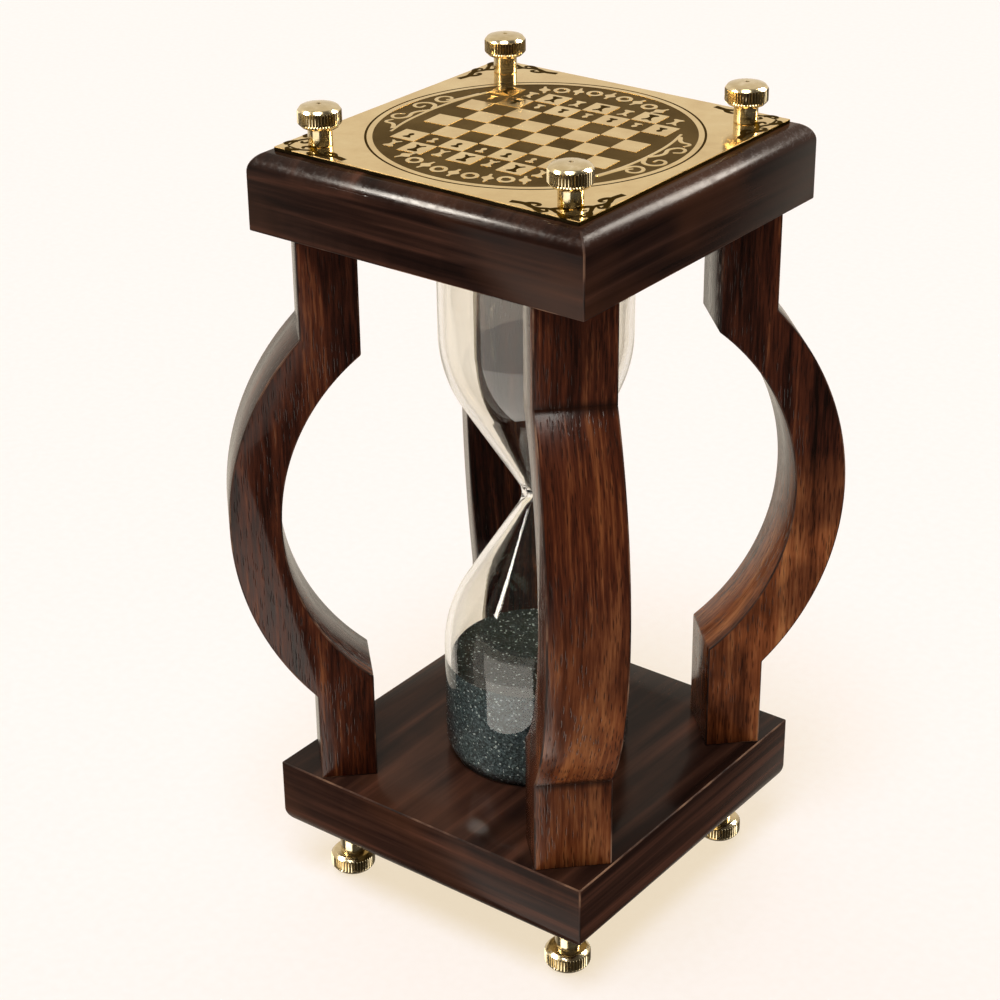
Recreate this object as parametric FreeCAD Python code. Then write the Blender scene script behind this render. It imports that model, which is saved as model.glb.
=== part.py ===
import FreeCAD, Part
import math
import os
from FreeCAD import Vector

# Hourglass in a square timber frame. Millimetres, +Z up, origin on the floor under the centre.
# Two square end plates are held apart by four bowed legs that stand on the diagonals.
# A stud in each leg end passes through the plate and its brass facing into a knurled thumb nut:
# the upper nuts clamp the top, the lower ones are also the feet.

# Driving dimensions
plate_side = 100.0
plate_thickness = 20.0
plate_round_over = 5.0
plate_gap = 154.0
brass_side = 90.0
brass_thickness = 1.0

nut_offset = 37.0            # X and Y of each stud from the centre
stud_radius = 1.95
thread_clearance = 0.05      # radial, between the stud and the thread that it runs in
stud_in_leg = 15.0
stud_in_nut = 7.0
passage_radius = 2.25        # plain holes through plate and brass

leg_width = 20.0
leg_inner = 45.3             # distances from the centre line, measured along a diagonal
leg_outer = 60.3
bow_inner = 67.1
bow_outer = 80.5
bow_inner_radius = 60.0
bow_outer_radius = 75.5

bulb_radius = 25.0
glass_wall = 1.4
neck_radius = 3.9
neck_bore_radius = 1.6
cone_angle = math.radians(31.9)
cone_radius_at_neck = 2.77   # where the straight cone would meet the neck plane
shoulder_radius = 36.0
end_round = 6.5
seat_radius = 23.3           # shallow recess in each plate that keeps the glass in place
seat_depth = 2.5
cushion_radius = 22.0
cushion_thickness = 1.0
stopper_radius = 5.0
stopper_length = 4.5
sand_depth = 28.6
sand_gap = 0.05

# Nuts as (radius, height) outlines, from the face that bears on the brass up to the crown
top_nut_outline = [(2.85, 0.0), (3.05, 0.25), (3.05, 4.6), (4.4, 4.6), (5.4, 5.6), (5.4, 8.6), (4.7, 9.5)]
top_nut_height = 10.1
top_nut_flat = 1.5
foot_nut_outline = [(3.2, 0.0), (3.4, 0.25), (3.4, 9.4), (4.9, 9.4), (6.1, 10.6), (6.1, 13.6), (5.3, 14.8)]
foot_nut_height = 15.5
foot_nut_flat = 3.4
nut_bore_end = 1.0           # thread left free above the end of the stud

# Heights that follow from them
mid_height = foot_nut_height + brass_thickness + plate_thickness + plate_gap / 2
plate_inner = plate_gap / 2
plate_outer = plate_inner + plate_thickness
brass_outer = plate_outer + brass_thickness
glass_end = plate_inner + seat_depth - cushion_thickness

corners = {"front": (1, -1), "right": (1, 1), "back": (-1, 1), "left": (-1, -1)}
x_axis = Vector(1, 0, 0)
z_axis = Vector(0, 0, 1)
centre = Vector(0, 0, 0)


def at_end(shape, end):
    """Place a piece drawn upwards from the mid plane at the upper or the lower end."""
    placed = shape.copy()
    if end == "lower":
        placed.rotate(centre, x_axis, 180)
    placed.translate(Vector(0, 0, mid_height))
    return placed


def outline_face(points, across=x_axis):
    """Face in the vertical plane of across, from points given as (distance, height)."""
    corners_3d = [across * distance + z_axis * height for distance, height in points]
    return Part.Face(Part.makePolygon(corners_3d + corners_3d[:1]))


def turned(face):
    """Solid of revolution about the vertical centre line."""
    return face.revolve(centre, z_axis, 360)


def stud_holes(radius, low, high):
    """Four upright cylinders on the stud axes."""
    holes = [
        Part.makeCylinder(radius, high - low, Vector(sx * nut_offset, sy * nut_offset, low))
        for sx, sy in corners.values()
    ]
    return holes[0].fuse(holes[1:])


def rounded_bar(across, along):
    """Bar as wide and thick as the plate, whose two outer long edges are rounded over."""
    half = plate_side / 2
    spring = plate_outer - plate_round_over
    inset = plate_round_over * (1 - math.sqrt(0.5))

    def at(distance, height):
        return across * distance + z_axis * height - along * half

    lines = [
        Part.LineSegment(at(-half, plate_inner), at(half, plate_inner)),
        Part.LineSegment(at(half, plate_inner), at(half, spring)),
        Part.Arc(
            at(half, spring),
            at(half - inset, plate_outer - inset),
            at(half - plate_round_over, plate_outer),
        ),
        Part.LineSegment(at(half - plate_round_over, plate_outer), at(plate_round_over - half, plate_outer)),
        Part.Arc(
            at(plate_round_over - half, plate_outer),
            at(inset - half, plate_outer - inset),
            at(-half, spring),
        ),
        Part.LineSegment(at(-half, spring), at(-half, plate_inner)),
    ]
    section = Part.Face(Part.Wire([line.toShape() for line in lines]))
    return section.extrude(along * plate_side)


def timber_plate():
    """End plate: rounded over on all four outer edges, which meet in mitred corners."""
    y_axis = Vector(0, 1, 0)
    plate = rounded_bar(x_axis, y_axis).common(rounded_bar(y_axis, x_axis))
    seat = Part.makeCylinder(seat_radius, seat_depth, Vector(0, 0, plate_inner))
    return plate.cut(stud_holes(passage_radius, plate_inner, plate_outer)).cut(seat)


def brass_facing():
    """Thin square sheet that covers the flat of the end plate."""
    half = brass_side / 2
    sheet = Part.makeBox(brass_side, brass_side, brass_thickness, Vector(-half, -half, plate_outer))
    return sheet.cut(stud_holes(passage_radius, plate_outer, brass_outer))


def bow_kink(face_distance, apex, radius):
    """Height above the mid plane at which the bow's arc meets the straight end of the leg."""
    return math.sqrt(radius ** 2 - (face_distance - apex + radius) ** 2)


def leg(sx, sy):
    """Flat plank sawn to a bow, standing on the diagonal, with a stud hole in each end."""
    outward = Vector(sx, sy, 0).normalize()
    sideways = z_axis.cross(outward)
    inner_kink = bow_kink(leg_inner, bow_inner, bow_inner_radius)
    outer_kink = bow_kink(leg_outer, bow_outer, bow_outer_radius)

    def at(distance, height):
        return outward * distance + z_axis * height - sideways * (leg_width / 2)

    lines = [
        Part.LineSegment(at(leg_inner, plate_inner), at(leg_outer, plate_inner)),
        Part.LineSegment(at(leg_outer, plate_inner), at(leg_outer, outer_kink)),
        Part.Arc(at(leg_outer, outer_kink), at(bow_outer, 0), at(leg_outer, -outer_kink)),
        Part.LineSegment(at(leg_outer, -outer_kink), at(leg_outer, -plate_inner)),
        Part.LineSegment(at(leg_outer, -plate_inner), at(leg_inner, -plate_inner)),
        Part.LineSegment(at(leg_inner, -plate_inner), at(leg_inner, -inner_kink)),
        Part.Arc(at(leg_inner, -inner_kink), at(bow_inner, 0), at(leg_inner, inner_kink)),
        Part.LineSegment(at(leg_inner, inner_kink), at(leg_inner, plate_inner)),
    ]
    plank = Part.Face(Part.Wire([line.toShape() for line in lines])).extrude(sideways * leg_width)
    radius = stud_radius + thread_clearance
    for end in (1, -1):
        mouth = Vector(sx * nut_offset, sy * nut_offset, end * plate_inner)
        plank = plank.cut(Part.makeCylinder(radius, stud_in_leg, mouth, Vector(0, 0, -end)))
    plank.translate(Vector(0, 0, mid_height))
    return plank


def stud(sx, sy):
    """Screw stud from the leg end, through plate and brass, into the nut."""
    length = stud_in_leg + plate_thickness + brass_thickness + stud_in_nut
    foot = Vector(sx * nut_offset, sy * nut_offset, plate_inner - stud_in_leg)
    return Part.makeCylinder(stud_radius, length, foot)


def nut(outline, height, flat):
    """Turned thumb nut with a blind thread, crowned by a shallow cone around a small flat."""
    face = outline_face([(0.0, 0.0)] + outline + [(flat, height), (0.0, height)])
    bore = Part.makeCylinder(stud_radius + thread_clearance, stud_in_nut + nut_bore_end)
    return turned(face).cut(bore)


def bulb_solid(wall, neck):
    """Two bulbs joined at the neck, as one solid. The outside has no wall, the inside a wall."""
    tangent = math.tan(cone_angle)
    reach = math.sin(cone_angle)
    rise = 1 - math.cos(cone_angle)
    radius = bulb_radius - wall
    cone_start = cone_radius_at_neck - wall / math.cos(cone_angle)
    neck_arc = (neck - cone_start) / (tangent * reach - rise)
    shoulder = shoulder_radius - wall
    corner = end_round - wall
    end = glass_end - wall

    neck_r, neck_z = neck + neck_arc * rise, neck_arc * reach
    shoulder_r = radius - shoulder * rise
    shoulder_z = (shoulder_r - cone_start) / tangent
    side_z = shoulder_z + shoulder * reach
    half_turn = cone_angle / 2
    shoulder_mid = (radius - shoulder * (1 - math.cos(half_turn)), side_z - shoulder * math.sin(half_turn))
    corner_mid = (radius - corner * (1 - math.sqrt(0.5)), end - corner * (1 - math.sqrt(0.5)))

    def at(distance, height):
        return Vector(distance, 0, height)

    lines = [Part.Arc(at(neck_r, -neck_z), at(neck, 0), at(neck_r, neck_z))]
    for up in (1, -1):
        lines += [
            Part.LineSegment(at(neck_r, up * neck_z), at(shoulder_r, up * shoulder_z)),
            Part.Arc(
                at(shoulder_r, up * shoulder_z),
                at(shoulder_mid[0], up * shoulder_mid[1]),
                at(radius, up * side_z),
            ),
            Part.LineSegment(at(radius, up * side_z), at(radius, up * (end - corner))),
            Part.Arc(
                at(radius, up * (end - corner)),
                at(corner_mid[0], up * corner_mid[1]),
                at(radius - corner, up * end),
            ),
            Part.LineSegment(at(radius - corner, up * end), at(0, up * end)),
        ]
    lines.append(Part.LineSegment(at(0, end), at(0, -end)))
    edges = Part.sortEdges([line.toShape() for line in lines])[0]
    return turned(Part.Face(Part.Wire(edges)))


def glass_bulbs():
    """One-piece blown glass, filled through a round hole in its upper end."""
    glass = bulb_solid(0.0, neck_radius).cut(bulb_solid(glass_wall, neck_bore_radius))
    filling_hole = Part.makeCylinder(stopper_radius, 2 * glass_wall, Vector(0, 0, glass_end - 2 * glass_wall))
    return glass.cut(filling_hole)


def sand():
    """The whole charge of sand, run down into the lower bulb and lying level."""
    inside = bulb_solid(glass_wall + sand_gap, neck_bore_radius - sand_gap)
    floor = -glass_end
    fill = Part.makeCylinder(bulb_radius, glass_wall + sand_depth, Vector(0, 0, floor))
    return inside.common(fill)


def stopper():
    """Slightly tapered rubber plug in the filling hole, flush with the end of the glass."""
    radius = stopper_radius - sand_gap
    face = outline_face(
        [
            (0.0, glass_end - stopper_length),
            (radius - 0.6, glass_end - stopper_length),
            (radius, glass_end - glass_wall),
            (radius, glass_end),
            (0.0, glass_end),
        ]
    )
    return turned(face)


def cushion():
    """Felt disc between the end of the glass and the bottom of its seat."""
    return Part.makeCylinder(cushion_radius, cushion_thickness, Vector(0, 0, glass_end))


# The assembly: one node for each piece
nodes = {
    "glass_bulbs": at_end(glass_bulbs(), "upper"),
    "sand": at_end(sand(), "upper"),
    "filling_stopper": at_end(stopper(), "upper"),
}
for end in ("upper", "lower"):
    nodes[end + "_plate"] = at_end(timber_plate(), end)
    nodes[end + "_brass_plate"] = at_end(brass_facing(), end)
    nodes[end + "_glass_cushion"] = at_end(cushion(), end)

for name, (sx, sy) in corners.items():
    nodes[name + "_leg"] = leg(sx, sy)
    nodes["upper_" + name + "_stud"] = at_end(stud(sx, sy), "upper")
    # turning a piece over about X also swaps the sign of Y
    nodes["lower_" + name + "_stud"] = at_end(stud(sx, -sy), "lower")

    top_nut = nut(top_nut_outline, top_nut_height, top_nut_flat)
    top_nut.translate(Vector(sx * nut_offset, sy * nut_offset, brass_outer))
    nodes[name + "_top_nut"] = at_end(top_nut, "upper")

    foot_nut = nut(foot_nut_outline, foot_nut_height, foot_nut_flat)
    foot_nut.translate(Vector(sx * nut_offset, -sy * nut_offset, brass_outer))
    nodes[name + "_foot_nut"] = at_end(foot_nut, "lower")

for name, shape in nodes.items():
    shape.exportStep("parts/" + name + ".step")
    print(name, len(shape.Solids), shape.isValid(), round(shape.Volume, 1))
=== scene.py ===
import math
import bpy
from mathutils import Matrix, Vector, noise


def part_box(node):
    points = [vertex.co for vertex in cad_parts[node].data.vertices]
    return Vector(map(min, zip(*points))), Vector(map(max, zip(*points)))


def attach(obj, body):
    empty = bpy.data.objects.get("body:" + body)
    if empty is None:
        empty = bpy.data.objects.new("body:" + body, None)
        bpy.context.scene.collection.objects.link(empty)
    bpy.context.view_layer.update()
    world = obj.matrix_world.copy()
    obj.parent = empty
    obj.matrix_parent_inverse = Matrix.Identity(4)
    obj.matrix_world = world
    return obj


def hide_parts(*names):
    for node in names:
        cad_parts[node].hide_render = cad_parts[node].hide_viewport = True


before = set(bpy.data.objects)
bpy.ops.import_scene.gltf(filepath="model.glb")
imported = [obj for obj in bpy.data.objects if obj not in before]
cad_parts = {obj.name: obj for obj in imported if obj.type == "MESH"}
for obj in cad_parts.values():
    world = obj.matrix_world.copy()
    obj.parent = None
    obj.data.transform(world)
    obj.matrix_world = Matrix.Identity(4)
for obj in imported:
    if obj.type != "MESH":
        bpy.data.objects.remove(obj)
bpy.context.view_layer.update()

# ---- Camera ----
# It looks down on the front corner of the frame from above head height, with a long lens.
camera_azimuth = math.radians(37.3681)
camera_elevation = math.radians(26.8915)
camera_roll = math.radians(-0.627)

back = Vector((
    math.sin(camera_azimuth) * math.cos(camera_elevation),
    -math.cos(camera_azimuth) * math.cos(camera_elevation),
    math.sin(camera_elevation),
))
level_right = Vector((math.cos(camera_azimuth), math.sin(camera_azimuth), 0))
level_up = back.cross(level_right)
right = math.cos(camera_roll) * level_right + math.sin(camera_roll) * level_up
up = math.cos(camera_roll) * level_up - math.sin(camera_roll) * level_right

bpy.ops.object.camera_add(location=(0.32783, -0.44511, 0.39157))
camera = bpy.context.object
camera.rotation_euler = Matrix((right, up, back)).transposed().to_euler()
camera.data.lens = 84.909
camera.data.sensor_width = 36
camera.data.clip_start = 0.01
bpy.context.scene.camera = camera

# ---- Room ----
# A pale studio: white paper lit warmly from below, a broad sun high in front, a bright wall behind on
# the left and a low panel in front. Panel and cards only show in gloss, so the paper stays even.


def from_hex(colour):
    """Linear colour from an sRGB hex value."""
    channels = [int(colour[i:i + 2], 16) / 255 for i in (1, 3, 5)]
    linear = [c / 12.92 if c <= 0.04045 else ((c + 0.055) / 1.055) ** 2.4 for c in channels]
    return (*linear, 1)


def node_adder(material):
    """A function that adds nodes to the material."""

    def add(kind, inputs=None, ramp=None, **settings):
        """A node with its settings and inputs. An input is a value, or (node, output) to link from."""
        made = material.node_tree.nodes.new("ShaderNode" + kind)
        for name, value in settings.items():
            setattr(made, name, value)
        for socket, value in (inputs or {}).items():
            if isinstance(value, tuple) and isinstance(value[0], bpy.types.Node):
                material.node_tree.links.new(value[0].outputs[value[1]], made.inputs[socket])
            else:
                made.inputs[socket].default_value = value
        for index, (position, colour) in enumerate(ramp or []):
            stops = made.color_ramp.elements
            stop = stops[index] if index < len(stops) else stops.new(position)
            stop.position = position
            stop.color = from_hex(colour)
        return made

    return add


def new_material(name):
    """A node material that is still empty."""
    material = bpy.data.materials.new(name)
    material.use_nodes = True
    material.node_tree.nodes.clear()
    return material


def mottled(name, spots, ramp, shader, bump=None):
    """A material coloured by one noise, which can also raise it by a bump of (strength, distance)."""
    material = new_material(name)
    add = node_adder(material)
    pattern = add("TexNoise", {"Vector": (add("TexCoord"), "Object"), **spots})
    tone = add("ValToRGB", {"Fac": (pattern, "Fac")}, ramp=ramp)
    inputs = {"Base Color": (tone, "Color"), **shader}
    if bump:
        raised = add("Bump", {"Height": (pattern, "Fac"), "Strength": bump[0], "Distance": bump[1]})
        inputs["Normal"] = (raised, "Normal")
    shaded = add("BsdfPrincipled", inputs)
    add("OutputMaterial", {"Surface": (shaded, "BSDF")})
    return material


def start_clean():
    """Nothing selected, so that the next operator acts only on what it adds."""
    bpy.ops.object.select_all(action="DESELECT")


# Matt white paper over warm lamps: it glows evenly, so shadows on it stay light and warm. Its faint fibre
# mottle is about 3 mm across.
floor_paper = mottled(
    "white_paper_floor",
    {"Scale": 330, "Detail": 3},
    [(0.3, "#7785a7"), (0.7, "#7c8aac")],
    {
        "Roughness": 0.9,
        "Specular IOR Level": 0.1,
        "Emission Color": from_hex("#ffedd0"),
        "Emission Strength": 0.8,
    },
)

floor_radius = 6
start_clean()
bpy.ops.mesh.primitive_circle_add(vertices=96, radius=floor_radius, fill_type="NGON")
floor = bpy.context.object
floor.name = "floor"
floor.data.materials.append(floor_paper)
floor.visible_glossy = False

room = bpy.data.worlds.new("studio_room")
bpy.context.scene.world = room
room.use_nodes = True
room.node_tree.nodes.clear()
add = node_adder(room)
direction = (add("TexCoord"), "Generated")
# the wall fills one side of the room and fades towards the camera
towards_wall = add("VectorMath", {0: direction, 1: (-0.75, 0.60, 0.28)}, operation="DOT_PRODUCT")
wall_share = add("MapRange", {"Value": (towards_wall, "Value"), 1: 0.05, 2: 0.75, 3: 0.09, 4: 0.93})
# a low pale panel in front, brighter in its lower half, seen only in gloss, through the floor
ways = add("SeparateXYZ", {"Vector": direction})
slant = add("Math", {0: (ways, "X"), 1: (ways, "Y")}, operation="DIVIDE")
slant_size = add("Math", {0: (slant, "Value")}, operation="ABSOLUTE")
panel_sides = add("MapRange", {"Value": (slant_size, "Value"), 1: 0.57, 2: 0.60, 3: 1.0, 4: 0.0})
in_front = add("Math", {0: (ways, "Y"), 1: 0.0}, operation="LESS_THAN")
panel_top = add("MapRange", {"Value": (ways, "Z"), 1: -0.16, 2: -0.12, 3: 1.0, 4: 0.0})
panel_tone = add("MapRange", {"Value": (ways, "Z"), 1: -0.48, 2: -0.47, 3: 3.6, 4: 2.0})
panel_height = add("Math", {0: (panel_top, "Result"), 1: (in_front, "Value")}, operation="MULTIPLY")
panel_share = add("Math", {0: (panel_height, "Value"), 1: (panel_sides, "Result")}, operation="MULTIPLY")
panel_strength = add("Math", {0: (panel_share, "Value"), 1: (panel_tone, "Result")}, operation="MULTIPLY")
wall_light = add("Background", {"Color": from_hex("#fff3e0"), "Strength": (wall_share, "Result")})
panel_light = add("Background", {"Color": from_hex("#fbf5ea"), "Strength": (panel_strength, "Value")})
room_light = add("AddShader", {0: (wall_light, "Background"), 1: (panel_light, "Background")})
add("OutputWorld", {"Surface": (room_light, "Shader")})
bpy.context.scene.view_settings.view_transform = "Standard"


def towards(azimuth, elevation):
    """The direction in which something stands, in degrees and counted as for the camera."""
    turn, tilt = math.radians(azimuth), math.radians(elevation)
    return Vector((math.sin(turn) * math.cos(tilt), -math.cos(turn) * math.cos(tilt), math.sin(tilt)))


start_clean()
bpy.ops.object.light_add(type="SUN")
overhead = bpy.context.object
overhead.rotation_euler = towards(24, 68).to_track_quat("Z", "Y").to_euler()
overhead.data.energy = 2.6
overhead.data.angle = math.radians(28)
overhead.data.color = from_hex("#fffaf2")[:3]

card_distance = 0.9
card_aim = 0.11


def gloss_card(name, azimuth, elevation, width, height, watts):
    """A soft warm white card seen only in gloss, facing the middle of the hourglass."""
    place = towards(azimuth, elevation)
    start_clean()
    bpy.ops.object.light_add(type="AREA", location=Vector((0, 0, card_aim)) + place * card_distance)
    card = bpy.context.object
    card.name = name
    card.rotation_euler = place.to_track_quat("Z", "Y").to_euler()
    card.data.shape = "RECTANGLE"
    card.data.size = width
    card.data.size_y = height
    card.data.energy = watts
    card.data.color = from_hex("#fff8ec")[:3]
    card.visible_diffuse = False


gloss_card("left_window", -45, 43, 0.24, 0.26, 30)
gloss_card("thin_window", -27, 27, 0.08, 0.22, 1.2)
gloss_card("far_window", 148, 38, 0.24, 0.50, 18)

# ---- Timber end plates ----
# Two square plates of dark stained rosewood under a satin lacquer. The outer edges were moulded to
# a quarter round that mitres at the corners, and the inner face has a shallow seat for the glass.
round_over = 0.005
arris = 0.00035
seat_radius = 0.0233
seat_depth = 0.0025
passage_radius = 0.00225
hole_sides = 32
knot_centre = (-0.0125, -0.0500, 0.2073)
knot_radius = 0.001
knot_stretch = (1.4, 0.5, 0.5)
# how far a cutting tool reaches past the surface that it cuts
overcut = 0.001

stud_low, stud_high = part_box("upper_right_stud")
stud_offset = (stud_low.x + stud_high.x) / 2
corner_signs = {"front": (1, -1), "right": (1, 1), "back": (-1, 1), "left": (-1, -1)}


def pick(piece):
    """Only this piece selected and active, for the next operator."""
    start_clean()
    piece.select_set(True)
    bpy.context.view_layer.objects.active = piece


def settle(piece):
    """Put the piece's place, turn and scale into its mesh, so that its object sits at the origin."""
    pick(piece)
    bpy.ops.object.transform_apply(location=True, rotation=True, scale=True)
    return piece


def edit(piece, mode, where):
    """Open the piece for editing, with only the elements selected whose points all pass the where test.

    Mode is VERT or EDGE, the kind of element.
    """
    pick(piece)
    bpy.ops.object.mode_set(mode="EDIT")
    bpy.ops.mesh.select_mode(type=mode)
    bpy.ops.mesh.select_all(action="DESELECT")
    bpy.ops.object.mode_set(mode="OBJECT")
    points = piece.data.vertices
    if mode == "VERT":
        for point in points:
            point.select = where(point.co)
    else:
        for element in piece.data.edges:
            element.select = all(where(points[i].co) for i in element.vertices)
    bpy.ops.object.mode_set(mode="EDIT")


def close_edit():
    bpy.ops.object.mode_set(mode="OBJECT")


def apply_modifier(piece, kind, **settings):
    """Add a modifier to the piece and apply it at once."""
    pick(piece)
    modifier = piece.modifiers.new(kind, kind)
    for name, value in settings.items():
        setattr(modifier, name, value)
    bpy.ops.object.modifier_apply(modifier=modifier.name)
    return piece


def carve(piece, tool, operation="DIFFERENCE"):
    """Cut the piece with the tool, or join them, and throw the tool away."""
    apply_modifier(piece, "BOOLEAN", object=tool, operation=operation, solver="EXACT")
    bpy.data.objects.remove(tool)
    return piece


def soften(piece, width, segments=2, material=-1):
    """Round off the sharp edges of the piece by a hair, in a material slot of their own if one is given."""
    return apply_modifier(
        piece,
        "BEVEL",
        width=width,
        segments=segments,
        limit_method="ANGLE",
        angle_limit=math.radians(30),
        material=material,
    )


def smooth(piece, angle=30):
    """Shade smooth where faces meet below the angle."""
    pick(piece)
    bpy.ops.object.shade_smooth_by_angle(angle=math.radians(angle))
    return piece


def block(name, low, high):
    """A box between two corners."""
    start_clean()
    bpy.ops.mesh.primitive_cube_add(size=1, location=(low + high) / 2)
    piece = bpy.context.object
    piece.name = name
    piece.scale = high - low
    return settle(piece)


def rod(name, radius, low, high, x=0, y=0, vertices=96):
    """An upright cylinder between two heights."""
    start_clean()
    bpy.ops.mesh.primitive_cylinder_add(
        vertices=vertices, radius=radius, depth=high - low, location=(x, y, (low + high) / 2)
    )
    piece = bpy.context.object
    piece.name = name
    return settle(piece)


def bore_passages(piece, low, high):
    """Four holes for the studs, right through the piece."""
    for sx, sy in corner_signs.values():
        x, y = sx * stud_offset, sy * stud_offset
        carve(piece, rod("passage", passage_radius, low - overcut, high + overcut, x, y, hole_sides))


def turn_over(piece, height):
    """Turn the piece upside down about a level line at that height."""
    piece.matrix_world = Matrix.Translation((0, 0, 2 * height)) @ Matrix.Rotation(math.pi, 4, "X")
    return settle(piece)


def copy_of(piece, name):
    """A copy with its own mesh."""
    twin = piece.copy()
    twin.data = piece.data.copy()
    twin.name = name
    bpy.context.scene.collection.objects.link(twin)
    return twin


def dress(piece, body, slot, *materials):
    """Give the piece its body and its materials. The slot is not used."""
    for material in materials:
        piece.data.materials.append(material)
    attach(piece, body)
    return piece


# Stained rosewood under satin lacquer: nearly black, with long soft streaks where the growth layers
# lie flat, faint red where the stain is thin, fine pores, and a clear but slightly wavy gloss.
plate_timber = new_material("lacquered_dark_rosewood")
add = node_adder(plate_timber)
place = (add("TexCoord"), "Object")
surface = add("NewGeometry")
facing = add("SeparateXYZ", {"Vector": (surface, "Normal")})
level_face = add("Math", {0: (facing, "Z")}, operation="ABSOLUTE")
# growth layers 3 mm thick that run the length of both side faces
layer_map = add("Mapping", {"Vector": place, "Scale": (14, 9, 380)})
layers = add("TexNoise", {"Vector": (layer_map, "Vector"), "Scale": 1, "Detail": 5, "Distortion": 0.3})
# figure 6 mm wide that runs front to back on the level faces
figure_map = add("Mapping", {"Vector": place, "Scale": (160, 9, 60)})
figure = add("TexNoise", {"Vector": (figure_map, "Vector"), "Scale": 1, "Detail": 6, "Distortion": 0.5})
grain = add("Mix", {0: (level_face, "Value"), 2: (layers, "Fac"), 3: (figure, "Fac")}, data_type="FLOAT")
# painted bounce light: the side faces of the lower plate are painted lighter, for the light that the floor
# throws up on them
heights = add("SeparateXYZ", {"Vector": place})
lower_plate_bounce_light = add("MapRange", {"Value": (heights, "Z"), 1: 0.05, 2: 0.18, 3: 0.07, 4: 0.0})
side_face = add("Math", {0: 1.0, 1: (level_face, "Value")}, operation="SUBTRACT")
bounce_light_and_wear = add("Math", {0: (lower_plate_bounce_light, "Result"), 1: (side_face, "Value")}, operation="MULTIPLY")
stain_and_bounce_level = add("Math", {0: (grain, 0), 1: (bounce_light_and_wear, "Value")}, operation="ADD")
stain = add(
    "ValToRGB",
    {"Fac": (stain_and_bounce_level, "Value")},
    ramp=[(0.30, "#140c0a"), (0.45, "#271712"), (0.57, "#38231b"), (0.76, "#5a372a")],
)
# thin patches in the stain, 30 mm across
patch_map = add("Mapping", {"Vector": place, "Scale": (28, 28, 60)})
patches = add("TexNoise", {"Vector": (patch_map, "Vector"), "Scale": 1, "Detail": 2})
patch_amount = add("MapRange", {"Value": (patches, "Fac"), 1: 0.5, 2: 0.75, 3: 0.0, 4: 0.5})
stained = add(
    "Mix", {0: (patch_amount, "Result"), 6: (stain, "Color"), 7: from_hex("#50301f")}, data_type="RGBA"
)
gloss = add("MapRange", {"Value": (grain, 0), 1: 0.3, 2: 0.7, 3: 0.13, 4: 0.24})
# the moulding is scuffed by hands, in fine scratches across the edge about 1 mm apart
scuffs = add("TexNoise", {"Vector": place, "Scale": 900, "Detail": 3, "Roughness": 0.6})
scuff_gloss = add("MapRange", {"Value": (scuffs, "Fac"), 1: 0.42, 2: 0.65, 3: 0.0, 4: 0.14})
moulding_start = add("MapRange", {"Value": (level_face, "Value"), 1: 0.15, 2: 0.5, 3: 0.0, 4: 1.0})
moulding_end = add("MapRange", {"Value": (level_face, "Value"), 1: 0.96, 2: 0.99, 3: 1.0, 4: 0.0})
moulding = add("Math", {0: (moulding_start, "Result"), 1: (moulding_end, "Result")}, operation="MULTIPLY")
plate_gloss = add(
    "Math",
    {0: (scuff_gloss, "Result"), 1: (moulding, "Value"), 2: (gloss, "Result")},
    operation="MULTIPLY_ADD",
)
lacquer_wave = add("Bump", {"Height": (grain, 0), "Strength": 0.35, "Distance": 0.0001})
plate_shader = add("BsdfPrincipled", {
    "Base Color": (stained, 2),
    "Roughness": (plate_gloss, "Value"),
    "Specular IOR Level": 0.07,
    "Normal": (lacquer_wave, "Normal"),
})
add("OutputMaterial", {"Surface": (plate_shader, "BSDF")})

# Sharp edges drawn as a warm pale line, broken along its length: a painted highlight along the arris, and
# handling that has rubbed the stain thin. The line breaks in stretches about 15 mm long.
edge_highlight_and_wear = mottled(
    "timber_edge_highlight_and_wear",
    {"Scale": 70, "Detail": 5},
    [(0.42, "#261813"), (0.54, "#4a3025"), (0.68, "#8f6c54")],
    {"Roughness": 0.45, "Specular IOR Level": 0.12},
    (0.3, 0.0001),
)

plate_low, plate_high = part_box("upper_plate")
lower_plate_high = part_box("lower_plate")[1]
mid_height = (plate_low.z + lower_plate_high.z) / 2

upper_plate = block("upper_plate_timber", plate_low, plate_high)
edit(upper_plate, "EDGE", lambda p: p.z > plate_high.z - arris)
bpy.ops.mesh.bevel(offset=round_over, segments=12, affect="EDGES")
close_edit()
for material in (plate_timber, edge_highlight_and_wear):
    upper_plate.data.materials.append(material)
soften(upper_plate, arris, material=1)
carve(upper_plate, rod("seat", seat_radius, plate_low.z - seat_depth, plate_low.z + seat_depth))
bore_passages(upper_plate, plate_low.z, plate_high.z)

# a small knot hole in the moulding, on the left of the front
start_clean()
bpy.ops.mesh.primitive_uv_sphere_add(segments=24, ring_count=12, radius=knot_radius, location=knot_centre)
knot = bpy.context.object
knot.scale = knot_stretch
carve(upper_plate, settle(knot))
smooth(upper_plate)
lower_plate = turn_over(copy_of(upper_plate, "lower_plate_timber"), mid_height)

for piece, node in ((upper_plate, "upper_plate"), (lower_plate, "lower_plate")):
    dress(piece, "frame", "dark_timber")
    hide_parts(node)

# ---- Brass facings ----
# Square sheets of polished brass over the flat of each end plate. A round medallion is etched into
# each: a blackened field that leaves a ring, a chequered board and scrollwork standing in bright brass.
etch_depth = 0.00008
etch_radius = 0.0417
ring_outer = 0.0411
ring_inner = 0.0397
circle_sides = 192
board_square = 0.0071
board_gap = 0.0001
board_turn = math.radians(3.4)
line_height = 0.00002
sheet_bevel = 0.00014
sheet_rim = 0.0005
scroll_width = 0.0012
corner_line_width = 0.0022
line_taper = 0.4

# Cast and rolled brass, machine polished: pale gold with faint wipe marks and slow colour clouds.
polished_brass = new_material("polished_brass_sheet")
add = node_adder(polished_brass)
place = (add("TexCoord"), "Object")
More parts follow.
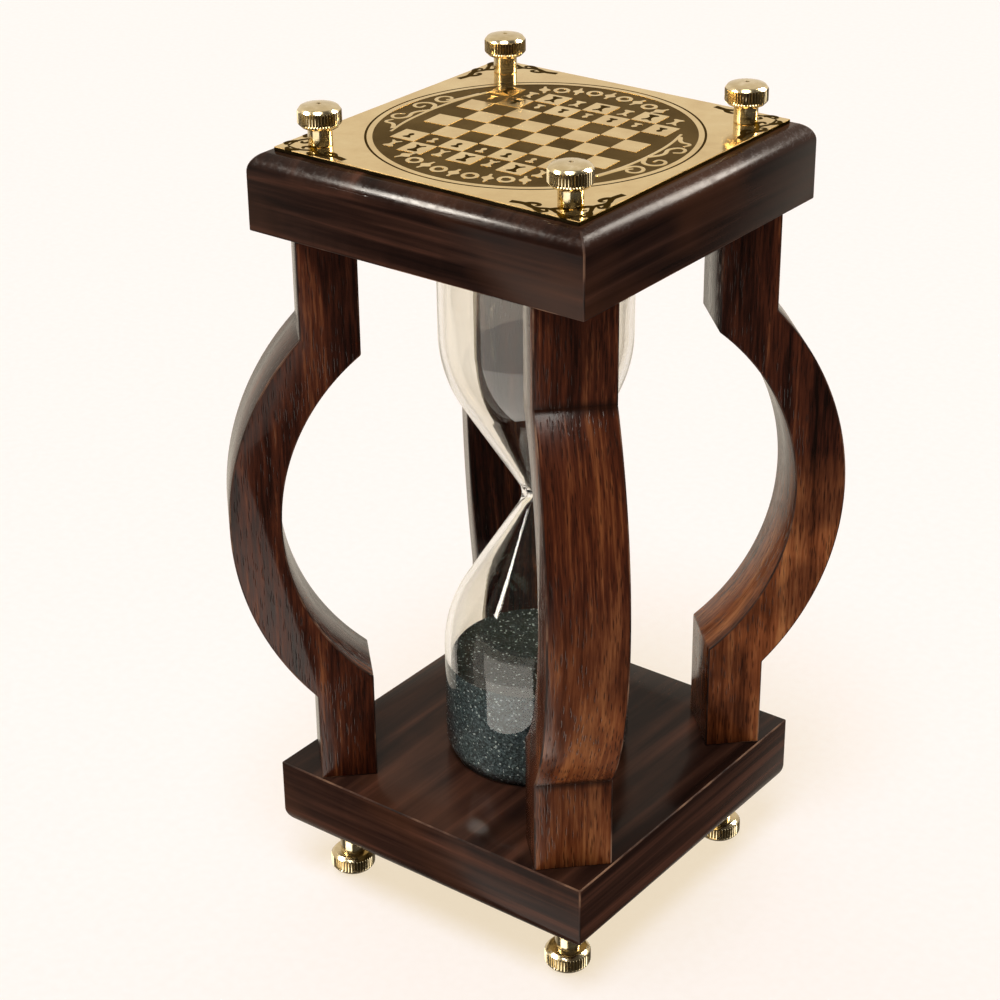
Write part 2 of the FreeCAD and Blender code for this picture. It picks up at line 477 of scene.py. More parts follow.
# clouds of handling 12 mm across
cloud = add("TexNoise", {"Vector": place, "Scale": 85, "Detail": 4, "Roughness": 0.6})
tone = add(
    "ValToRGB", {"Fac": (cloud, "Fac")}, ramp=[(0.30, "#cdb17a"), (0.52, "#d8bf8a"), (0.72, "#dfca98")]
)
# wipe marks of the polishing cloth, drawn 0.4 mm apart so that they show
wipe_map = add("Mapping", {"Vector": place, "Rotation": (0, 0, 0.6), "Scale": (2500, 90, 90)})
wipes = add("TexNoise", {"Vector": (wipe_map, "Vector"), "Scale": 1, "Detail": 2})
polish = add("MapRange", {"Value": (cloud, "Fac"), 1: 0.3, 2: 0.7, 3: 0.10, 4: 0.2})
wipe_bump = add("Bump", {"Height": (wipes, "Fac"), "Strength": 0.05, "Distance": 0.00005})
brass_shader = add("BsdfPrincipled", {
    "Base Color": (tone, "Color"),
    "Metallic": 1.0,
    "Roughness": (polish, "Result"),
    "Normal": (wipe_bump, "Normal"),
})
add("OutputMaterial", {"Surface": (brass_shader, "BSDF")})

# Etched brass, chemically blackened: dull olive brown with a grain of pits about 0.3 mm across.
etched_black = new_material("blackened_etch")
add = node_adder(etched_black)
place = (add("TexCoord"), "Object")
pits = add("TexNoise", {"Vector": place, "Scale": 3200, "Detail": 3})
bounce_light_and_wear = add("TexNoise", {"Vector": place, "Scale": 70, "Detail": 3})
pit_tone = add("ValToRGB", {"Fac": (bounce_light_and_wear, "Fac")}, ramp=[(0.3, "#352917"), (0.7, "#4c3e27")])
pit_bump = add("Bump", {"Height": (pits, "Fac"), "Strength": 0.5, "Distance": 0.0001})
etch_shader = add("BsdfPrincipled", {
    "Base Color": (pit_tone, "Color"),
    "Metallic": 1.0,
    "Roughness": 0.45,
    "Specular Tint": from_hex("#e6d8c2"),
    "Normal": (pit_bump, "Normal"),
})
add("OutputMaterial", {"Surface": (etch_shader, "BSDF")})

# Black filler in the drawn lines: nearly black brown, worn a little lighter in clouds 10 mm across. On the
# sawn edge of the sheet it is painted shade.
filler_and_edge_shade = mottled(
    "black_filler_and_painted_edge_shade",
    {"Scale": 100, "Detail": 4},
    [(0.3, "#171208"), (0.7, "#292013")],
    {"Metallic": 1.0, "Roughness": 0.45, "Specular Tint": from_hex("#d8c8b0")},
)

sheet_low, sheet_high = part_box("upper_brass_plate")
facing_top = sheet_high.z
etch_floor = facing_top - etch_depth
relief_span = (etch_floor, facing_top)
ink_span = (facing_top - line_height, facing_top + line_height)

upper_facing = block("upper_brass_facing", sheet_low, sheet_high)
soften(upper_facing, sheet_bevel, 1)
bore_passages(upper_facing, sheet_low.z, facing_top)
carve(upper_facing, rod("etch", etch_radius, etch_floor, facing_top + overcut, vertices=circle_sides))
smooth(upper_facing)
for material in (polished_brass, etched_black, filler_and_edge_shade):
    upper_facing.data.materials.append(material)
# the sawn edge of each sheet gets the black filler: painted shade below the bright bevel
for face in upper_facing.data.polygons:
    reach = max(abs(face.center.x), abs(face.center.y))
    shaded_sheet_edge = face.normal.z < 0.1 and reach > sheet_high.x - sheet_rim
    if abs(face.center.z - etch_floor) < line_height:
        face.material_index = 1
    elif shaded_sheet_edge:
        face.material_index = 2


def join(name, pieces):
    """Make one piece of several."""
    start_clean()
    for piece in pieces:
        piece.select_set(True)
    bpy.context.view_layer.objects.active = pieces[0]
    bpy.ops.object.join()
    pieces[0].name = name
    return pieces[0]


def annulus(name, outer, inner, low, high, x=0, y=0, vertices=circle_sides):
    """A flat ring between two heights."""
    ring = rod(name, outer, low, high, x, y, vertices)
    return carve(ring, rod(name + "_hole", inner, low - overcut, high + overcut, x, y, vertices))


def curve_mesh(name, curve):
    """A piece made of a curve, as a mesh."""
    piece = bpy.data.objects.new(name, curve)
    bpy.context.scene.collection.objects.link(piece)
    pick(piece)
    bpy.ops.object.convert(target="MESH")
    return piece


def flat_shape(name, outline, x, y, turn, span):
    """A flat shape with a smooth outline, given in mm, that fills a span of height."""
    low, high = span
    curve = bpy.data.curves.new(name, "CURVE")
    curve.dimensions = "2D"
    curve.fill_mode = "BOTH"
    curve.resolution_u = 4
    curve.extrude = (high - low) / 2
    spline = curve.splines.new("BEZIER")
    spline.bezier_points.add(len(outline) - 1)
    spline.use_cyclic_u = True
    for point, (across, along) in zip(spline.bezier_points, outline):
        point.co = (across * 0.001, along * 0.001, 0)
        point.handle_left_type = point.handle_right_type = "AUTO"
    shape = curve_mesh(name, curve)
    shape.location = (x, y, (low + high) / 2)
    shape.rotation_euler.z = turn
    return settle(shape)


def scroll_line(name, route, width, span):
    """A line of scrollwork: a tapering, soft-edged strip along a smooth route that is given in mm."""
    low, high = span
    curve = bpy.data.curves.new(name, "CURVE")
    curve.dimensions = "3D"
    curve.bevel_depth = width / 2
    curve.bevel_resolution = 2
    curve.resolution_u = 6
    curve.use_fill_caps = True
    spline = curve.splines.new("BEZIER")
    spline.bezier_points.add(len(route) - 1)
    for index, (point, (x, y)) in enumerate(zip(spline.bezier_points, route)):
        point.co = (x / 1000, y / 1000, 0)
        point.handle_left_type = point.handle_right_type = "AUTO"
        point.radius = 1 - line_taper * index / (len(route) - 1)
    strip = curve_mesh(name, curve)
    strip.location.z = low
    strip.scale.z = (high - low) / (width / 2)
    return settle(strip)


# board squares and small men on the two end rows at each side: plain generic outlines
pawn = [(-1.1, -1.6), (0, -1.8), (1.1, -1.6), (0.4, -0.4), (0.7, 0.8), (0, 1.5), (-0.7, 0.8), (-0.4, -0.4)]
tower = [
    (-1.4, -2.2), (0, -2.4), (1.4, -2.2), (0.6, -0.8), (0.7, 0.8),
    (1.4, 2.1), (0, 1.6), (-1.4, 2.1), (-0.7, 0.8), (-0.6, -0.8),
]
relief = []
ink = []
for row in range(8):
    for column in range(8):
        across = (column - 3.5) * board_square
        along = (row - 3.5) * board_square
        x = across * math.cos(board_turn) - along * math.sin(board_turn)
        y = across * math.sin(board_turn) + along * math.cos(board_turn)
        bright = (row + column) % 2 == 1
        if bright:
            start_clean()
            bpy.ops.mesh.primitive_cube_add(size=1, location=(x, y, (etch_floor + facing_top) / 2))
            square = bpy.context.object
            square.rotation_euler.z = board_turn
            square.scale = (board_square - board_gap, board_square - board_gap, etch_depth)
            relief.append(settle(square))
        if row in (0, 1, 6, 7):
            outline = pawn if row in (1, 6) else tower
            turned = board_turn if row < 4 else board_turn + math.pi
            group, span = (ink, ink_span) if bright else (relief, relief_span)
            group.append(flat_shape("man", outline, x, y, turned, span))

# the ring around the etched field, and the black line around the ring
relief.append(annulus("ring", ring_outer, ring_inner, etch_floor, facing_top))
ink.append(annulus("ring_line", etch_radius, ring_outer, etch_floor, facing_top - line_height))

# scrollwork left and right of the board, as a bracket line with scrolls and leaves behind it
side_scrolls = [
    [(-29.6, 19.5), (-31.4, 12), (-32.2, 4), (-32.2, -4), (-31.4, -12), (-29.6, -19.5)],
    [(-30.6, 17.5), (-32.6, 10), (-34.2, 6.5), (-36.8, 7.6), (-36.2, 10.6), (-33.8, 10.2), (-34.4, 8.4)],
    [(-32.4, 0.5), (-34.6, 3.8), (-37.6, 3.2), (-38.2, 0.4), (-36.0, -0.4), (-35.6, 1.6)],
    [(-32.4, -0.5), (-34.4, -4.4), (-33.6, -8.6), (-35.8, -10.6), (-37.4, -8.2), (-35.6, -6.6)],
    [(-30.6, -17.5), (-33.0, -14.5), (-35.6, -14.0), (-35.2, -11.8)],
]
for side in (1, -1):
    for route in side_scrolls:
        line = [(side * x, side * y) for x, y in route]
        relief.append(scroll_line("scroll", line, scroll_width, relief_span))

# friezes of lozenges and rings where the field is widest, before and behind the board
lozenge = [(-1.5, 0), (-0.5, -1.3), (0, -2.9), (0.5, -1.3), (1.5, 0), (0.5, 1.3), (0, 2.9), (-0.5, 1.3)]
frieze_radius = 0.0350
frieze_count = 9
frieze_span = math.radians(58)
ringlet_outer = 0.0022
ringlet_inner = 0.0012
for middle in (math.radians(90), math.radians(270)):
    for index in range(frieze_count):
        angle = middle + board_turn + frieze_span * (index / (frieze_count - 1) - 0.5)
        x, y = frieze_radius * math.cos(angle), frieze_radius * math.sin(angle)
        if index % 2 == 0:
            mark = flat_shape("lozenge", lozenge, x, y, angle - math.pi / 2, relief_span)
        else:
            mark = annulus("ringlet", ringlet_outer, ringlet_inner, etch_floor, facing_top, x, y, 24)
        relief.append(mark)

# blackened leaf scrolls that frame each corner, one arm along each edge
corner_arm = [
    [(24.5, 42.9), (28, 42.3), (31.5, 43.2), (35, 42.0), (38.5, 43.2), (42.5, 42.6)],
    [(28, 42.4), (29.5, 40.9), (31.4, 41.2), (31.0, 42.3)],
    [(31.5, 43.1), (33.2, 44.1), (35.0, 43.7), (34.4, 42.7)],
    [(35, 42.1), (36.6, 40.4), (38.8, 40.9), (38.0, 42.2)],
    [(38.5, 43.1), (40.0, 44.2), (41.8, 43.8), (41.4, 42.8)],
]
for quarter in range(4):
    turn = Matrix.Rotation(quarter * math.pi / 2, 2)
    for route in corner_arm:
        for arm in (route, [(y, x) for x, y in route]):
            line = [tuple(turn @ Vector(point)) for point in arm]
            ink.append(scroll_line("corner_line", line, corner_line_width, ink_span))

upper_relief = join("upper_medallion_relief", relief)
upper_ink = join("upper_blackened_lines", ink)
upper_relief.data.materials.append(polished_brass)
upper_ink.data.materials.append(filler_and_edge_shade)
smooth(upper_relief)
smooth(upper_ink)

for piece, name in (
    (upper_facing, "brass_facing"),
    (upper_relief, "medallion_relief"),
    (upper_ink, "blackened_lines"),
):
    twin = turn_over(copy_of(piece, "lower_" + name), mid_height)
    for half, node in ((piece, "upper_brass_plate"), (twin, "lower_brass_plate")):
        dress(half, "frame", "etched_brass")
        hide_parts(node)

# ---- Legs ----
# Four planks of red-brown open-grained hardwood, sawn to a bow, sanded and oiled to a soft shine.
# They stand on the diagonals, butted between the plates and held by a stud in each end.
leg_width = 0.020
leg_inner = 0.0453
leg_outer = 0.0603
bow_inner = 0.0671
bow_outer = 0.0805
bow_inner_radius = 0.060
bow_outer_radius = 0.0755
stud_hole_radius = 0.002
stud_hole_depth = 0.015
leg_arris = 0.0004
bow_sides = 360
bow_inset = 0.001
bow_allowance = 0.01
leg_weld = 0.00001
kink_rise = math.sqrt(bow_outer_radius ** 2 - (leg_outer - bow_outer + bow_outer_radius) ** 2)

leg_low = lower_plate_high.z
leg_high = plate_low.z

# Oiled hardwood sawn along the grain: brown-red with near-black streaks, open pores that catch dust,
# and a gloss that only shows at a glancing angle.
leg_timber = new_material("oiled_red_hardwood")
add = node_adder(leg_timber)
place = (add("TexCoord"), "Object")
# the grain is read across whichever face is looked at: one diagonal for two legs, the other for two
turned_place = add("Mapping", {"Vector": place, "Rotation": (0, 0, math.radians(45))})
surface = add("NewGeometry")
turned_normal = add("Mapping", {"Vector": (surface, "Normal"), "Rotation": (0, 0, math.radians(45))})
size_of_normal = add("VectorMath", {0: (turned_normal, "Vector")}, operation="ABSOLUTE")
normal_parts = add("SeparateXYZ", {"Vector": (size_of_normal, "Vector")})
faces_first = add("Math", {0: (normal_parts, "X"), 1: (normal_parts, "Y")}, operation="GREATER_THAN")
place_parts = add("SeparateXYZ", {"Vector": (turned_place, "Vector")})
crossed = add("CombineXYZ", {"X": (place_parts, "Y"), "Y": (place_parts, "X"), "Z": (place_parts, "Z")})
across_face = add(
    "Mix",
    {0: (faces_first, "Value"), 4: (turned_place, "Vector"), 5: (crossed, "Vector")},
    data_type="VECTOR",
)
# broad growth bands 8 mm wide, drawn out along the leg
band_map = add("Mapping", {"Vector": (across_face, 1), "Scale": (130, 12, 9)})
bands = add("TexNoise", {"Vector": (band_map, "Vector"), "Scale": 1, "Detail": 4, "Distortion": 0.8})
# fibres 0.8 mm wide and 20 mm long
fibre_map = add("Mapping", {"Vector": (across_face, 1), "Scale": (1250, 30, 75)})
fibres = add("TexNoise", {"Vector": (fibre_map, "Vector"), "Scale": 1, "Detail": 4, "Roughness": 0.6})
grain = add("Mix", {0: 0.48, 2: (bands, "Fac"), 3: (fibres, "Fac")}, data_type="FLOAT")
# painted shade: every plank but the front one is painted darker, for the shade of the upper plate on the
# legs further back
to_the_front = add("VectorMath", {0: place, 1: (1, -1, 0)}, operation="DOT_PRODUCT")
painted_plate_shade = add("MapRange", {"Value": (to_the_front, "Value"), 1: 0.02, 2: 0.07, 3: -0.035, 4: 0.0})
grain_and_plate_shade = add("Math", {0: (grain, 0), 1: (painted_plate_shade, "Result")}, operation="ADD")
wood_colour = add(
    "ValToRGB",
    {"Fac": (grain_and_plate_shade, "Value")},
    ramp=[(0.34, "#140805"), (0.44, "#31150c"), (0.54, "#4d2413"), (0.66, "#7c4828")],
)
# pores 0.5 mm wide and 4 mm long
pore_map = add("Mapping", {"Vector": (across_face, 1), "Scale": (1700, 300, 200)})
pores = add("TexVoronoi", {"Vector": (pore_map, "Vector"), "Scale": 1})
pore_mask = add("MapRange", {"Value": (pores, "Distance"), 1: 0.18, 2: 0.36, 3: 0.65, 4: 0.0})
# paler sapwood towards the foot of the two legs on the right, which is also painted bounce light from the
# floor, and a dark band in the kinks of the bow: old oil, and painted shade in the crease
leg_place = add("SeparateXYZ", {"Vector": place})
to_the_right = add("VectorMath", {0: place, 1: (0.7, 0.35, 0)}, operation="DOT_PRODUCT")
right_side = add("MapRange", {"Value": (to_the_right, "Value"), 1: -0.006, 2: 0.045, 3: 0.0, 4: 1.5})
below_middle = add("MapRange", {"Value": (leg_place, "Z"), 1: 0.085, 2: 0.125, 3: 1.0, 4: 0.0})
above_foot = add("MapRange", {"Value": (leg_place, "Z"), 1: 0.05, 2: 0.075, 3: 0.85, 4: 1.0})
near_foot = add("Math", {0: (below_middle, "Result"), 1: (above_foot, "Result")}, operation="MULTIPLY")
sapwood_and_bounce_noise = add("TexNoise", {"Vector": place, "Scale": 60, "Detail": 3})
sapwood_and_bounce_patch = add("MapRange", {"Value": (sapwood_and_bounce_noise, "Fac"), 1: 0.38, 2: 0.62, 3: 0.35, 4: 1.0})
foot_share = add("Math", {0: (right_side, "Result"), 1: (near_foot, "Value")}, operation="MULTIPLY")
sapwood_and_bounce_light = add("Math", {0: (foot_share, "Value"), 1: (sapwood_and_bounce_patch, "Result")}, operation="MULTIPLY")
sapwood_and_bounce_tone = add(
    "ValToRGB", {"Fac": (grain, 0)}, ramp=[(0.36, "#562a14"), (0.5, "#864a28"), (0.62, "#ab6e40")]
)
grown_and_bounce_lit = add(
    "Mix", {0: (sapwood_and_bounce_light, "Value"), 6: (wood_colour, "Color"), 7: (sapwood_and_bounce_tone, "Color")}, data_type="RGBA"
)
# painted shade with old oil: a dark band on the outer face at each kink of the bow, where the crease is in
# shade
outward = add("VectorMath", {0: place, 1: (1, 1, 0)}, operation="MULTIPLY")
outward_way = add("VectorMath", {0: (outward, "Vector")}, operation="NORMALIZE")
facing_out = add(
    "VectorMath", {0: (outward_way, "Vector"), 1: (surface, "Normal")}, operation="DOT_PRODUCT"
)
outer_face = add("MapRange", {"Value": (facing_out, "Value"), 1: 0.5, 2: 0.7, 3: 0.0, 4: 1.0})
from_middle = add("Math", {0: (leg_place, "Z"), 1: mid_height}, operation="SUBTRACT")
half_rise = add("Math", {0: (from_middle, "Value")}, operation="ABSOLUTE")
from_kink = add("Math", {0: (half_rise, "Value"), 1: kink_rise}, operation="SUBTRACT")
kink_gap = add("Math", {0: (from_kink, "Value")}, operation="ABSOLUTE")
kink_shade_and_oil_band = add("MapRange", {"Value": (kink_gap, "Value"), 1: 0.0004, 2: 0.0022, 3: 0.8, 4: 0.0})
kink_shade_and_oil = add("Math", {0: (kink_shade_and_oil_band, "Result"), 1: (outer_face, "Result")}, operation="MULTIPLY")
pores_and_kink_shade = add("Math", {0: (pore_mask, "Result"), 1: (kink_shade_and_oil, "Value")}, operation="MAXIMUM")
pored_and_kink_shaded = add("Mix", {0: (pores_and_kink_shade, "Value"), 6: (grown_and_bounce_lit, 2), 7: from_hex("#1a0c07")}, data_type="RGBA")
shine = add("MapRange", {"Value": (grain, 0), 1: 0.35, 2: 0.65, 3: 0.15, 4: 0.26})
grain_height = add("Math", {0: (grain, 0), 1: (pore_mask, "Result")}, operation="SUBTRACT")
grain_bump = add("Bump", {"Height": (grain_height, "Value"), "Strength": 0.4, "Distance": 0.00015})
leg_shader = add("BsdfPrincipled", {
    "Base Color": (pored_and_kink_shaded, 2),
    "Roughness": (shine, "Result"),
    "Specular IOR Level": 0.2,
    "Normal": (grain_bump, "Normal"),
})
add("OutputMaterial", {"Surface": (leg_shader, "BSDF")})


def bow_disc(name, apex, radius):
    """A thick disc across the leg, whose rim is one curve of the bow."""
    start_clean()
    bpy.ops.mesh.primitive_cylinder_add(
        vertices=bow_sides,
        radius=radius,
        depth=leg_width * 1.5,
        location=(apex - radius, 0, mid_height),
        rotation=(math.pi / 2, 0, 0),
    )
    disc = bpy.context.object
    disc.name = name
    return settle(disc)


# one leg, bowed along +X
plank = block(
    "plank", Vector((leg_inner, -leg_width / 2, leg_low)), Vector((leg_outer, leg_width / 2, leg_high))
)
bow = block(
    "bow",
    Vector((leg_inner + bow_inset, -leg_width / 2, leg_low + bow_inset)),
    Vector((bow_outer + bow_allowance, leg_width / 2, leg_high - bow_inset)),
)
carve(bow, bow_disc("outer_rim", bow_outer, bow_outer_radius), "INTERSECT")
carve(plank, bow, "UNION")
carve(plank, bow_disc("inner_rim", bow_inner, bow_inner_radius))
edit(plank, "VERT", lambda p: True)
bpy.ops.mesh.remove_doubles(threshold=leg_weld)
bpy.ops.mesh.dissolve_limited(angle_limit=math.radians(0.2))
close_edit()
for material in (leg_timber, edge_highlight_and_wear):
    plank.data.materials.append(material)
soften(plank, leg_arris, material=1)
# only the long edges get the pale line of painted highlight and wear, so the softened kinks go back to
# plain timber
for face in plank.data.polygons:
    if abs(face.center.y) < leg_width / 4:
        face.material_index = 0
stud_distance = stud_offset * math.sqrt(2)
for low, high in (
    (leg_low - overcut, leg_low + stud_hole_depth),
    (leg_high - stud_hole_depth, leg_high + overcut),
):
    carve(plank, rod("stud_hole", stud_hole_radius, low, high, stud_distance, 0, hole_sides))
smooth(plank)

for corner, (sx, sy) in corner_signs.items():
    leg = copy_of(plank, corner + "_leg_timber")
    leg.matrix_world = Matrix.Rotation(math.atan2(sy, sx), 4, "Z")
    settle(leg)
    dress(leg, "frame", "red_timber")
    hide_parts(corner + "_leg")
bpy.data.objects.remove(plank)

# ---- Thumb nuts ----
# Turned brass nuts with a slim post, a straight-knurled head and a low crown, polished on the lathe.
# Four clamp the top; four longer ones below are the feet. Each turns on its own stud.
flutes = 44
points_per_flute = 5
bottom_points = 3
flute_depth = 0.00045
knurl_inner = 0.0045
centre_mark_radius = 0.0006
thread_radius = 0.002
thread_depth = 0.008

# Turned and polished brass: paler than the sheet, with faint lathe rings.
turned_brass = new_material("turned_polished_brass")
add = node_adder(turned_brass)
place = (add("TexCoord"), "Object")
# lathe rings drawn 0.25 mm apart so that they show
ring_map = add("Mapping", {"Vector": place, "Scale": (40, 40, 4000)})
rings = add("TexNoise", {"Vector": (ring_map, "Vector"), "Scale": 1, "Detail": 2})
cloud = add("TexNoise", {"Vector": place, "Scale": 400, "Detail": 3})
tone = add(
    "ValToRGB", {"Fac": (cloud, "Fac")}, ramp=[(0.3, "#c2b18c"), (0.55, "#cfbf9c"), (0.75, "#dccfb2")]
)
polish = add("MapRange", {"Value": (rings, "Fac"), 1: 0.3, 2: 0.7, 3: 0.12, 4: 0.22})
ring_bump = add("Bump", {"Height": (rings, "Fac"), "Strength": 0.12, "Distance": 0.00005})
turned_shader = add("BsdfPrincipled", {
    "Base Color": (tone, "Color"),
    "Metallic": 1.0,
    "Roughness": (polish, "Result"),
    "Normal": (ring_bump, "Normal"),
})
add("OutputMaterial", {"Surface": (turned_shader, "BSDF")})

# The same brass at the bottom of the knurl, where polish never reaches: brown with old grime.
grimed_brass = mottled(
    "grimed_knurl_brass",
    {"Scale": 900, "Detail": 3},
    [(0.3, "#2a2011"), (0.7, "#524326")],
    {"Metallic": 0.8, "Roughness": 0.45},
)


def thumb_nut(name, outline, flute_low, flute_high):
    """A nut at the origin, turned up from its thread: outline is (radius, height) in mm up to the crown."""
    start_clean()
    bpy.ops.mesh.primitive_circle_add(
        vertices=flutes * points_per_flute,
        radius=thread_radius,
        location=(0, 0, thread_depth),
        fill_type="NGON",
    )
    nut = bpy.context.object
    nut.name = name
    settle(nut)
    edit(nut, "EDGE", lambda p: True)
    bpy.ops.mesh.select_mode(type="EDGE")
    radius, height = thread_radius, thread_depth
    for next_radius, next_height in [(2.0, 0.0)] + outline:
        next_radius, next_height = next_radius / 1000, next_height / 1000
        bpy.ops.mesh.extrude_edges_move(TRANSFORM_OT_translate={"value": (0, 0, next_height - height)})
        ratio = next_radius / radius
        bpy.ops.transform.resize(value=(ratio, ratio, 1), center_override=(0, 0, next_height))
        radius, height = next_radius, next_height
    bpy.ops.mesh.edge_face_add()
    close_edit()

    def in_flute(p):
        """True on the bottoms of the flutes: three points in five around the knurled band."""
        step = math.atan2(p.y, p.x) / (2 * math.pi) * flutes * points_per_flute
        in_band = flute_low < p.z < flute_high and math.hypot(p.x, p.y) > knurl_inner
        return in_band and round(step) % points_per_flute < bottom_points

    edit(nut, "VERT", in_flute)
    head_radius = max(r for r, _ in outline) / 1000
    inward = 1 - flute_depth / head_radius
    bpy.ops.transform.resize(value=(inward, inward, 1), center_override=(0, 0, 0))
    bpy.ops.mesh.select_all(action="SELECT")
    bpy.ops.mesh.normals_make_consistent(inside=False)
    close_edit()
    for material in (turned_brass, grimed_brass):
        nut.data.materials.append(material)
    for face in nut.data.polygons:
        reach = math.hypot(face.center.x, face.center.y)
        centre_mark = reach < centre_mark_radius and face.center.z > flute_high
        flute_floor = reach > knurl_inner and all(in_flute(nut.data.vertices[i].co) for i in face.vertices)
        if centre_mark or flute_floor:
            face.material_index = 1
    return smooth(nut, 35)


top_nut_outline = [
    (2.85, 0.0), (3.05, 0.2), (3.05, 3.9), (2.9, 4.0), (2.9, 4.15), (3.05, 4.25), (3.05, 4.6), (4.4, 4.6),
    (4.55, 4.65), (5.25, 5.4), (5.4, 5.65), (5.4, 8.45), (5.25, 8.75), (4.75, 9.4), (4.5, 9.55), (3.1, 9.9),
    (1.5, 10.1), (0.6, 10.1), (0.3, 9.8),
]
foot_nut_outline = [
    (3.2, 0.0), (3.4, 0.2), (3.4, 8.6), (3.25, 8.7), (3.25, 8.85), (3.4, 8.95), (3.4, 9.4), (4.9, 9.4),
    (5.05, 9.45), (5.95, 10.4), (6.1, 10.65), (6.1, 13.5), (5.95, 13.85), (5.4, 14.6), (5.1, 14.85),
    (4.3, 15.2), (3.4, 15.5),
]
top_pattern = thumb_nut("top_pattern", top_nut_outline, 0.0055, 0.0086)
foot_pattern = thumb_nut("foot_pattern", foot_nut_outline, 0.0105, 0.0137)

for corner, (sx, sy) in corner_signs.items():
    for pattern, kind, face, flip in (
        (top_pattern, "_top_nut", facing_top, 0),
        (foot_pattern, "_foot_nut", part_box("lower_brass_plate")[0].z, math.pi),
    ):
        nut = copy_of(pattern, corner + kind + "_turned")
        nut.location = (sx * stud_offset, sy * stud_offset, face)
        nut.rotation_euler.x = flip
        settle(nut)
        dress(nut, corner + kind, "turned_brass")
        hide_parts(corner + kind)
bpy.data.objects.remove(top_pattern)
bpy.data.objects.remove(foot_pattern)

# ---- Studs ----
# Eight lengths of plated screw rod, hidden in the plates, legs and nuts. Their pieces in the frame
# keep their shape and only get the finish.

# Zinc plated steel: grey-blue, with the thread drawn as fine rings 0.7 mm apart, painted darker in its
# roots and paler on its crests: painted shade and highlight.
stud_steel = new_material("zinc_plated_screw_rod")
add = node_adder(stud_steel)
place = (add("TexCoord"), "Object")
thread = add(
    "TexWave", {"Vector": place, "Scale": 230, "Distortion": 0.2}, wave_type="BANDS", bands_direction="Z"
)
plating_and_thread_shade = add("ValToRGB", {"Fac": (thread, "Fac")}, ramp=[(0.0, "#6d7073"), (1.0, "#b4b8ba")])
thread_bump = add("Bump", {"Height": (thread, "Fac"), "Strength": 0.8, "Distance": 0.0003})
steel_shader = add("BsdfPrincipled", {
    "Base Color": (plating_and_thread_shade, "Color"),
    "Metallic": 1.0,
    "Roughness": 0.35,
    "Normal": (thread_bump, "Normal"),
})
add("OutputMaterial", {"Surface": (steel_shader, "BSDF")})
for end in ("upper_", "lower_"):
    for corner in corner_signs:
        rod_in_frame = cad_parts[end + corner + "_stud"]
        rod_in_frame.data.materials.clear()
        rod_in_frame.data.materials.append(stud_steel)
        smooth(rod_in_frame)

# ---- Glass ----
# One piece of blown soda glass: two bulbs joined at a narrow neck, thicker there, with round ends.
# It was filled through a hole in the upper end, which a rubber plug closes.
bulb_radius = 0.025
glass_wall = 0.0014
neck_radius = 0.0039
neck_bore_radius = 0.0016
cone_angle = math.radians(31.9)
cone_radius_at_neck = 0.00277
shoulder_radius = 0.036
end_round = 0.0065
filling_hole_radius = 0.005
round_steps = 160
spin_weld = 0.000005

glass_low, glass_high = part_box("glass_bulbs")
glass_end = (glass_high.z - glass_low.z) / 2

# Clear glass with the faintest grey, and slow waves 20 mm long from blowing.
clear_glass = new_material("blown_soda_glass")
add = node_adder(clear_glass)
place = (add("TexCoord"), "Object")
wave_map = add("Mapping", {"Vector": place, "Scale": (90, 90, 35)})
waves = add("TexNoise", {"Vector": (wave_map, "Vector"), "Scale": 1, "Detail": 1})
wave_bump = add("Bump", {"Height": (waves, "Fac"), "Strength": 0.25, "Distance": 0.0004})
glass_tint = add("ValToRGB", {"Fac": (waves, "Fac")}, ramp=[(0.3, "#f5f1e7"), (0.7, "#fbf9f1")])
glass_shader = add("BsdfPrincipled", {
    "Base Color": (glass_tint, "Color"),
    "Transmission Weight": 1.0,
    "Roughness": 0.0,
    "IOR": 1.5,
    "Normal": (wave_bump, "Normal"),
})
add("OutputMaterial", {"Surface": (glass_shader, "BSDF")})


def half_outline(wall, neck, steps=18):
    """Outline of the outside (no wall) or the inside of the upper bulb, from the neck to its round end."""
    radius = bulb_radius - wall
    cone_start = cone_radius_at_neck - wall / math.cos(cone_angle)
    rise = 1 - math.cos(cone_angle)
    neck_arc = (neck - cone_start) / (math.tan(cone_angle) * math.sin(cone_angle) - rise)
    shoulder = shoulder_radius - wall
    corner = end_round - wall
    end = glass_end - wall
    shoulder_start = radius - shoulder * rise
    side_start = (shoulder_start - cone_start) / math.tan(cone_angle) + shoulder * math.sin(cone_angle)
    points = []
    for i in range(steps + 1):
        angle = cone_angle * i / steps
        points.append((neck + neck_arc * (1 - math.cos(angle)), neck_arc * math.sin(angle)))
    for i in range(steps + 1):
        angle = cone_angle * (1 - i / steps)
        points.append((radius - shoulder * (1 - math.cos(angle)), side_start - shoulder * math.sin(angle)))
    for i in range(steps + 1):
        angle = math.pi / 2 * i / steps
        points.append((radius - corner * (1 - math.cos(angle)), end - corner * (1 - math.sin(angle))))
    return points


def spun(name, outline):
    """A piece spun about the centre line from (radius, height) points, closed where they meet it."""
    curve = bpy.data.curves.new(name, "CURVE")
    curve.dimensions = "3D"
    spline = curve.splines.new("POLY")
    spline.points.add(len(outline) - 1)
    for point, (radius, height) in zip(spline.points, outline):
        point.co = (radius, 0, height, 1)
    piece = curve_mesh(name, curve)
    edit(piece, "VERT", lambda p: True)
    bpy.ops.mesh.spin(steps=round_steps, angle=2 * math.pi, center=(0, 0, 0), axis=(0, 0, 1))
    bpy.ops.mesh.select_all(action="SELECT")
    bpy.ops.mesh.remove_doubles(threshold=spin_weld)
    bpy.ops.mesh.normals_make_consistent(inside=False)
    close_edit()
    return piece


